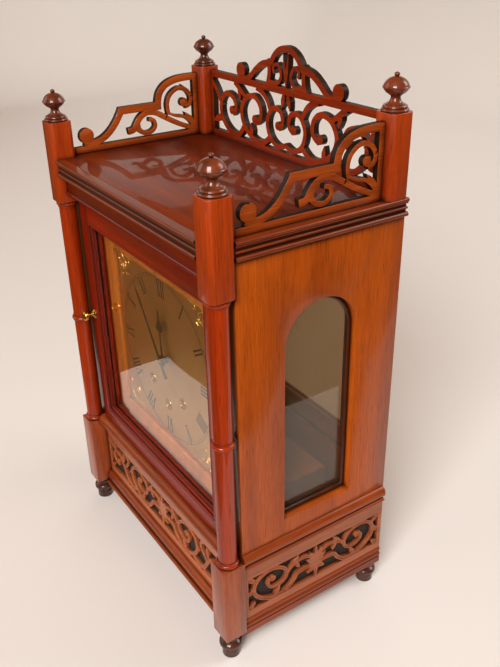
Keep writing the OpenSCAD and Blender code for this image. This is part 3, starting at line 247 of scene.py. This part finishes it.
def ease(piece, width, segments=2, angle=40):
    """Rounds the arrises of a piece, as scraping and rubbing down do."""
    alone(piece)
    arris = piece.modifiers.new("arris", "BEVEL")
    arris.width, arris.segments = width, segments
    arris.limit_method, arris.angle_limit = "ANGLE", math.radians(angle)
    arris.use_clamp_overlap = False
    bpy.ops.object.modifier_apply(modifier="arris")
    bpy.ops.object.shade_smooth_by_angle(angle=math.radians(35))


def stand_for(piece, node, body, material):
    """Puts a dressed piece in the place of its solid."""
    piece.data.materials.clear()
    piece.data.materials.append(material)
    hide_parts(node)
    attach(piece, body)


# Four feet, turned from mahogany in one piece with their rings and stained nearly black. They are
# dowelled into the pedestals in front and into the plinth behind.
turned_dark = polished_wood("turned_stained_mahogany", "#522614", "#30160a", "Z", film=0.7, gloss=0.07)
finish_solid("feet", turned_dark)


# The plinth: rails and bottom board of plain deal, and built-up mouldings of mahogany, a reeded
# base strip, a bead and a half-round nosing, planed by the length and mitred round the front.
deal = polished_wood("planed_deal", "#8a5a34", "#6e4426", "X", film=0.05, gloss=0.5)
finish_solid("plinth_frame", deal)
finish_solid("bottom_board", deal)
# its corners take less of the dark wax and painted shade than the default
moulding = polished_wood("polished_mahogany_moulding", "#9c4412", "#702c0a", "X",
                         beyond=("X", 0.162, "Y"), film=0.35, gloss=0.09, wax=0.55)
finish_solid("plinth_mouldings", moulding)


# Two square pedestals of mahogany that carry the front columns, planed and mitred from solid
# pieces, with their lower edges chamfered over the feet.
pedestal_wood = polished_wood("polished_mahogany_pedestal", "#aa5228", "#8c3e1a", "Z", film=0.7, gloss=0.12)
pedestals = merged_copy("pedestals", "pedestal_blocks")
ease(pedestals, 0.0007)
stand_for(pedestals, "pedestals", "case", pedestal_wood)


# Three frets sawn from 5 mm board and carved: each scroll is hollowed between raised edges, and
# the plain border stands level. Dark ribbed silk is glued behind them.
fret_bottom, fret_top, fret_front_ends, fret_side_ends = 0.0615, 0.1095, (-0.156, 0.156), (-0.0835, 0.1115)
hollow, rim, bed, grid = 0.0013, 0.0008, 0.0022, 0.00065
# its hollows and corners take less of the dark wax and painted shade than the default
fret_wood = polished_wood("carved_mahogany_fret", "#ba663a", "#98502a", "X",
                          beyond=("X", 0.17, "Y"), film=0.5, gloss=0.2, wax=0.7)
for node, axis, side, ends in (
    ("fret_front", 1, -1, fret_front_ends),
    ("fret_right", 0, 1, fret_side_ends),
    ("fret_left", 0, -1, fret_side_ends),
):
    fret = merged_copy(node, node + "_carved")
    low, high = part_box(node)
    face = high[axis] if side > 0 else low[axis]
    along = 1 - axis
    alone(fret)
    fine = fret.modifiers.new("fine", "REMESH")
    fine.mode, fine.voxel_size, fine.use_smooth_shade = "VOXEL", grid, True
    bpy.ops.object.modifier_apply(modifier="fine")
    walls = [v.co.copy() for v in fret.data.vertices if abs(v.normal[axis]) < 0.8]
    tree_of_walls = KDTree(len(walls))
    for i, place in enumerate(walls):
        tree_of_walls.insert(place, i)
    tree_of_walls.balance()
    carved = [v.index for v in fret.data.vertices
              if side * v.normal[axis] > 0.8 and side * (v.co[axis] - face) > -grid
              and fret_bottom < v.co.z < fret_top and ends[0] < v.co[along] < ends[1]]
    for i in carved:
        spot = fret.data.vertices[i]
        deep = min(max((tree_of_walls.find(spot.co)[2] - rim) / (bed - rim), 0), 1)
        spot.co[axis] -= side * hollow * deep * deep * (3 - 2 * deep)
    stand_for(fret, node, "case", fret_wood)

# the silk's ribs are 1 mm apart, and a wave texture turns 20 radians in each unit of its scale
silk, tree = blank("ribbed_silk_dark_brown")
rib, unit_turn = 0.001006, 20
place = add(tree, "TexCoord").outputs["Object"]
ribs = add(tree, "TexWave", {"Vector": place, "Scale": 2 * math.pi / unit_turn / rib, "Distortion": 0.6},
           wave_type="BANDS", bands_direction="Z")
tint = add(tree, "MapRange", {"Value": ribs.outputs["Fac"], "To Min": 0.7, "To Max": 1.3})
thread = add(tree, "Mix", {0: 1.0, 6: rgb("#20120c"), 7: tint.outputs[0]},
             data_type="RGBA", blend_type="MULTIPLY")
shader = add(tree, "BsdfPrincipled", {"Base Color": thread.outputs[2], "Roughness": 0.7,
                                      "Sheen Weight": 0.05, "Sheen Roughness": 0.4})
add(tree, "OutputMaterial", {"Surface": shader.outputs[0]})
finish_solid("fret_backing", silk)


# Two corner columns, turned from straight mahogany with rings at foot, middle and head, and
# pinned between the pedestals and the posts.
column_wood = polished_wood("turned_polished_mahogany", "#ae3600", "#882400", "Z", film=0.6, gloss=0.06)
finish_solid("columns", column_wood)


# Four corner posts of mahogany, planed square and chamfered on their arrises, and four finials,
# turned with rings and a button, stained browner than the posts and dowelled into their tops.
post_wood = polished_wood("polished_mahogany_post", "#b0400a", "#8c2c04", "Z", film=0.5, gloss=0.08)
posts = merged_copy("corner_posts", "chamfered_posts")
ease(posts, 0.0006, 2, 30)
stand_for(posts, "corner_posts", "case", post_wood)
finial_wood = polished_wood("turned_brown_mahogany", "#80381a", "#4c200c", "Z", film=0.8, gloss=0.07)
finish_solid("finials", finial_wood)


# Side panels of straight-grained mahogany in one board each, with a round-headed light whose
# reveal carries a dark bead that holds the pane.
side_wood = polished_wood("straight_mahogany_panel", "#ba560c", "#9c4408", "Z", film=0.42, gloss=0.12,
                          figure=0.03)
bead_wood = polished_wood("dark_mahogany_bead", "#5c2a12", "#40190a", "Z", film=0.6)
for node in ("side_panel_left", "side_panel_right"):
    panel = merged_copy(node, node + "_board")
    ease(panel, 0.0006)
    stand_for(panel, node, "case", side_wood)
beads = merged_copy("window_beads", "window_bead_mouldings")
ease(beads, 0.0018, 4)
stand_for(beads, "window_beads", "case", bead_wood)


# Panes of old drawn glass, its waves 60 mm long: clear and clean in the front door, and a little
# grey-brown with dust at the sides and the back. Each is puttied or beaded into its rebate.
drawn_wave = 0.06
for name, tint, clear, bending, shadow, nodes in (
    ("old_drawn_glass_clean", "#fbf6ec", 1.0, 1.62, "#f6f2ec", ("door_glass",)),
    ("old_drawn_glass_dusty", "#cdbfa8", 0.97, 1.5, "#e2d8c8", ("side_glass", "back_door_glass")),
):
    glass, tree = blank(name)
    place = add(tree, "TexCoord").outputs["Object"]
    wave = add(tree, "TexNoise", {"Vector": place, "Scale": 1 / drawn_wave, "Detail": 0.0})
    bend = add(tree, "Bump", {"Height": wave.outputs[0], "Distance": 0.001, "Strength": 0.12})
    shader = add(tree, "BsdfPrincipled", {
        "Base Color": rgb(tint), "Roughness": 0.0, "IOR": bending, "Transmission Weight": clear,
        "Normal": bend.outputs[0]})
    see = add(tree, "BsdfTransparent", {"Color": rgb(shadow)})
    lamp_ray = add(tree, "LightPath").outputs["Is Shadow Ray"]
    either = add(tree, "MixShader", {0: lamp_ray, 1: shader.outputs[0], 2: see.outputs[0]})
    add(tree, "OutputMaterial", {"Surface": either.outputs[0]})
    for node in nodes:
        finish_solid(node, glass)


# Front and back frames of the carcase, mortised and glued from mahogany: the front one, with the
# frieze over the door, is polished, and the back one only oiled.
front_wood = polished_wood("polished_mahogany_front", "#861e00", "#601000", "X",
                           beyond=("X", 0.156, "Z"), film=0.5, gloss=0.08)
finish_solid("front_frame", front_wood)
carcase_wood = polished_wood("oiled_mahogany_carcase", "#8a4a26", "#6a3216", "X",
                             beyond=("X", 0.138, "Z"), film=0.2, gloss=0.3)
finish_solid("back_frame", carcase_wood)


# The top: one flat board of mahogany, polished to a mirror, glued down between cornice strips
# whose fine beads were planed by the length.
top_wood = polished_wood("mirror_polished_mahogany_top", "#7c2a02", "#5c1a00", "X",
                         film=0.42, gloss=0.03, figure=0.03)
board = merged_copy("top_board", "polished_top")
ease(board, 0.0006)
stand_for(board, "top_board", "case", top_wood)
cornice_wood = polished_wood("polished_mahogany_cornice", "#8e3c10", "#662608", "X",
                             beyond=("X", 0.162, "Y"), film=0.45, gloss=0.09)
finish_solid("cornice", cornice_wood)


# Three galleries, sawn with a fret saw from 7 mm mahogany and fitted between the posts. Their faces
# are polished, and their sawn edges left dull and coloured nearly black: a dark stain and painted shade in
# the openings.
gallery_side_wood = polished_wood("sawn_mahogany_side_gallery", "#b2521a", "#8e3c10", "Y",
                                  film=0.5, gloss=0.1)
gallery_back_wood = polished_wood("sawn_mahogany_back_gallery", "#9a3004", "#701e00", "X",
                                  film=0.5, gloss=0.1)
edge_stain_and_painted_shade = polished_wood("sawn_edge_stain_and_painted_shade", "#2e1a0e", "#1e0f08", "X", film=0.0, gloss=0.4)
for node, wood, axis, slot in (("gallery_left", gallery_side_wood, 0, "mahogany_side"),
                               ("gallery_right", gallery_side_wood, 0, "mahogany_side"),
                               ("gallery_back", gallery_back_wood, 1, "mahogany")):
    gallery = merged_copy(node, node + "_sawn", whole=False)
    if axis == 0:
        ease(gallery, 0.0007)
    stand_for(gallery, node, "case", wood)
    gallery.data.materials.append(edge_stain_and_painted_shade)
    # every face across the board, the sawn edges, gets the near-black colour: dark stain and painted shade
    # inside the openings
    for face in gallery.data.polygons:
        face.material_index = 1 if abs(face.normal[axis]) < 0.5 else 0


# The front door: stiles and rails of mahogany, mortised together round the pane, with a stepped
# and beaded moulding on the sight edge. It turns on brass pivots at its right.
door_wood = polished_wood("polished_mahogany_door", "#8e1c00", "#620f00", "X",
                          beyond=("X", 0.1325, "Z"), film=0.38, gloss=0.05)
door = merged_copy("door_frame", "door_members")
ease(door, 0.0008)
stand_for(door, "door_frame", "front_door", door_wood)


# Brass turnings: the door pull, lacquered and bright from handling, screwed into the left stile,
# and the pins let into the case, that both doors turn on.
def metal(name, pale, dark, roughness, mottle=0.008, brushed=None):
    """A bare or lacquered metal with clouds of tarnish, mottle metres wide. brushed is the axis its
    strokes follow, which are drawn 0.8 mm wide, coarser than real ones so that they show."""
    material, tree = blank(name)
    place = add(tree, "TexCoord").outputs["Object"]
    cloud = add(tree, "TexNoise", {"Vector": place, "Scale": 1 / mottle, "Detail": 4.0})
    colour = add(tree, "Mix", {0: cloud.outputs[0], 6: rgb(dark), 7: rgb(pale)}, data_type="RGBA")
    field = place
    if brushed:
        scale = [0.03 if a == brushed else 1.0 for a in "XYZ"]
        field = add(tree, "Mapping", {"Vector": place, "Scale": scale}).outputs[0]
    stroke_width = 0.0008
    stroke = add(tree, "TexNoise", {"Vector": field, "Scale": 1 / stroke_width, "Detail": 2.0})
    rough = add(tree, "MapRange", {"Value": stroke.outputs[0], "To Min": roughness * 0.7,
                                   "To Max": roughness * 1.3})
    lines = add(tree, "Bump", {"Height": stroke.outputs[0], "Distance": 0.00002, "Strength": 0.4})
    shader = add(tree, "BsdfPrincipled", {
        "Base Color": colour.outputs[2], "Metallic": 1.0, "Roughness": rough.outputs[0],
        "Normal": lines.outputs[0]})
    add(tree, "OutputMaterial", {"Surface": shader.outputs[0]})
    return material


cast_brass = metal("turned_lacquered_brass", "#e0b45a", "#b5842e", 0.22)
finish_solid("door_knob", cast_brass)
finish_solid("door_pivots", cast_brass)


# The dial mask: a thin board of lighter mahogany with a square hole, waxed only, fitted between
# the members of the front frame.
mask_wood = polished_wood("waxed_pale_mahogany_mask", "#b8661e", "#985210", "Z", film=0.2, gloss=0.2)
finish_solid("dial_mask", mask_wood)


# The dial plate: a 2 mm sheet of brass, rubbed with silvering salts in straight strokes, left
# matt, and gone warm and brownish with age. It lies flat against the back of the mask.
dial_centre, dial_face = Vector((0, 0, 0.305)), -0.071
silvered = metal("silvered_matt_brass", "#deba80", "#c09658", 0.34, mottle=0.05, brushed="X")
finish_solid("dial_plate", silvered)


# Numerals and minute track, cut into the plate with a graver and filled with black wax, which is
# rubbed level and stays a little pitted.
wax, tree = blank("black_engravers_wax")
place = add(tree, "TexCoord").outputs["Object"]
pits = add(tree, "TexNoise", {"Vector": place, "Scale": 1 / 0.002, "Detail": 2.0})
tint = add(tree, "Mix", {0: pits.outputs[0], 6: rgb("#060403"), 7: rgb("#140f0b")}, data_type="RGBA")
shader = add(tree, "BsdfPrincipled", {"Base Color": tint.outputs[2], "Roughness": 0.5,
                                      "Specular IOR Level": 0.2})
add(tree, "OutputMaterial", {"Surface": shader.outputs[0]})
finish_solid("dial_engraving", wax)


# Rings of turned brass round the three winding holes, 15 mm across, polished and pressed into the
# plate to half their thickness.
ring_radius, ring_wire, outer_x, outer_z, middle_z = 0.0064, 0.0011, 0.037, 0.262, 0.2422
rings = []
for x, z in ((-outer_x, outer_z), (outer_x, outer_z), (0, middle_z)):
    alone()
    bpy.ops.mesh.primitive_torus_add(major_radius=ring_radius, minor_radius=ring_wire,
                                     major_segments=48, minor_segments=10, location=(x, dial_face, z),
                                     rotation=(math.radians(90), 0, 0))
    rings.append(bpy.context.object)
alone(rings[0])
for ring in rings[1:]:
    ring.select_set(True)
bpy.ops.object.join()
bpy.ops.object.transform_apply()
rings = bpy.context.object
rings.name = "winding_hole_rings"
bpy.ops.object.shade_smooth_by_angle(angle=math.radians(60))
rings.data.materials.append(cast_brass)
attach(rings, "case")


# Scrolls in the four corners of the dial, cut bright through the silvering. They are laid as
# strokes of 0.9 mm, in millimetres from the dial's middle, for one corner and turned to the others.
stroke_radius = 0.00045
cut_brass = metal("bright_cut_brass", "#ffd884", "#e0b050", 0.2)
corner_scrolls = (
    ((76, 104), (88, 106), (98, 102), (101, 92), (95, 84), (87, 86), (87, 93), (92, 95)),
    ((104, 76), (106, 88), (102, 98), (92, 101), (84, 95), (86, 87), (93, 87), (95, 92)),
    ((104, 104), (98, 106), (94, 104), (92, 99)),
    ((104, 104), (106, 98), (104, 94), (99, 92)),
    ((62, 106), (68, 103), (76, 104), (80, 100), (77, 96), (73, 98)),
    ((106, 62), (103, 68), (104, 76), (100, 80), (96, 77), (98, 73)),
    ((84, 80), (79, 84), (81, 89), (86, 88)),
)
strokes = []
for points in corner_scrolls:
    alone()
    bpy.ops.curve.primitive_nurbs_path_add()
    stroke = bpy.context.object
    stroke.data.splines.clear()
    spline = stroke.data.splines.new("NURBS")
    spline.points.add(len(points) - 1)
    spline.use_endpoint_u = True
    spline.order_u = 3
    for point, (x, z) in zip(spline.points, points):
        point.co = (x * 0.001, dial_face, dial_centre.z + z * 0.001, 1)
    spline.resolution_u = 6
    stroke.data.bevel_depth = stroke_radius
    stroke.data.bevel_resolution = 1
    bpy.ops.object.convert(target="MESH")
    strokes.append(bpy.context.object)
alone(strokes[0])
for stroke in strokes[1:]:
    stroke.select_set(True)
bpy.ops.object.join()
scrolls = bpy.context.object
scrolls.name = "dial_scrolls"
corners = []
for turn in (90, 180, 270):
    corners.append(bpy.data.objects.new("turned", scrolls.data.copy()))
    bpy.context.collection.objects.link(corners[-1])
    spin = Matrix.Rotation(math.radians(turn), 4, "Y")
    corners[-1].data.transform(Matrix.Translation(dial_centre) @ spin @ Matrix.Translation(-dial_centre))
alone(scrolls)
for corner in corners:
    corner.select_set(True)
bpy.ops.object.join()
scrolls = bpy.context.object
bpy.ops.object.shade_smooth_by_angle(angle=math.radians(60))
scrolls.data.materials.clear()
scrolls.data.materials.append(cut_brass)
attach(scrolls, "case")


# The hands: steel, sawn and filed up thin, then blued over a flame until nearly black, pushed on
# the arbor pipes and held by a collet.
blued = metal("flame_blued_steel", "#1c1a20", "#0e0c10", 0.3)
for node, body in (("hour_hand", "hour"), ("minute_hand", "centre")):
    finish_solid(node, blued)


# The movement: plates, wheels, barrels and brackets of hard brass, cut and stoned; anchor and
# hammers of polished steel; bells turned from pale bell metal; the seat board of deal under them.
plate_brass = metal("stoned_brass_plate", "#dcb565", "#b58d3e", 0.3, mottle=0.02, brushed="Z")
steel = metal("polished_steel", "#b4b8bc", "#8c9094", 0.22)
bell_metal = metal("turned_bell_metal", "#e4d29a", "#c2a864", 0.16)
for node in ("front_plate", "back_plate", "going_barrel", "second_wheel", "centre_wheel", "third_wheel",
             "escape_wheel", "minute_wheel", "strike_barrel", "pin_wheel", "strike_fly", "music_barrel",
             "music_wheel", "music_cylinder", "music_fly", "bell_brackets", "suspension", "pendulum"):
    finish_solid(node, plate_brass)
for node in ("anchor", "strike_hammer", "hammer_1", "hammer_2", "hammer_3", "hammer_4"):
    finish_solid(node, steel)
finish_solid("bells", bell_metal)
finish_solid("seatboard", deal)


# The back door: stiles and rails of mahogany, mortised together round a plain pane, oiled and not
# polished, on pivots like the front one's.
back_wood = polished_wood("oiled_mahogany_back_door", "#8a4a26", "#6a3216", "X",
                          beyond=("X", 0.1095, "Z"), film=0.2, gloss=0.3)
back_door = merged_copy("back_door", "back_door_members")
ease(back_door, 0.0007)
stand_for(back_door, "back_door", "rear_door", back_wood)
